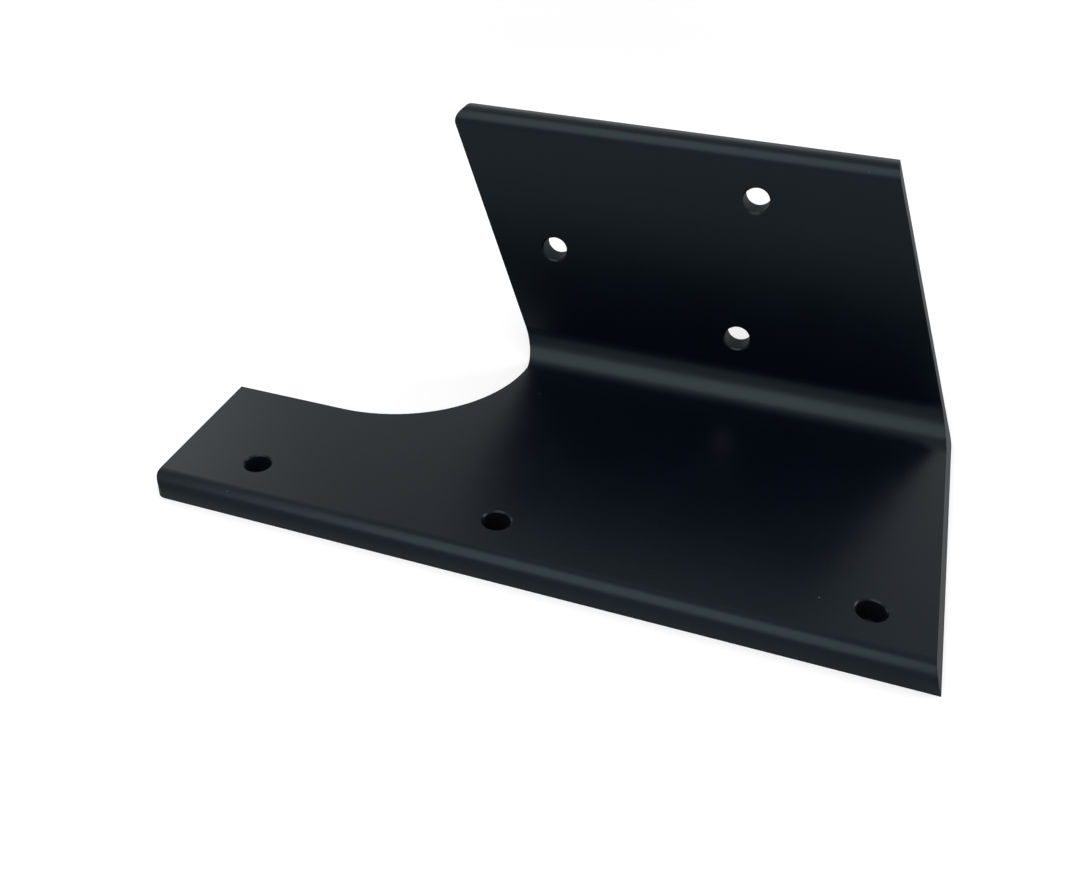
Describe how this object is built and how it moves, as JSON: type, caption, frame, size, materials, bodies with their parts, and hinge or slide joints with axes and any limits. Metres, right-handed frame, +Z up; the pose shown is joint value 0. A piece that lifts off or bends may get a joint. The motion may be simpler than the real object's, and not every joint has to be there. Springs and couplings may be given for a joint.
{
  "type": "l bracket",
  "caption": "Black coated steel angle bracket with leaning end cuts, a round-cornered cut-away at the back of the base leg, and bolt holes in both legs.",
  "frame": {"origin": "middle of the rectangle the part covers on the floor, at the underside of the base leg", "axes": "+X along the angle towards the long cut end, +Y from the toe of the base leg to the back face of the upright leg, +Z up"},
  "size_m": [0.2524, 0.1264, 0.1035],
  "materials": {
    "bracket": "satin black coating on steel"
  },
  "bodies": {
    "root": {"bracket": "bracket"}
  },
  "joints": []
}
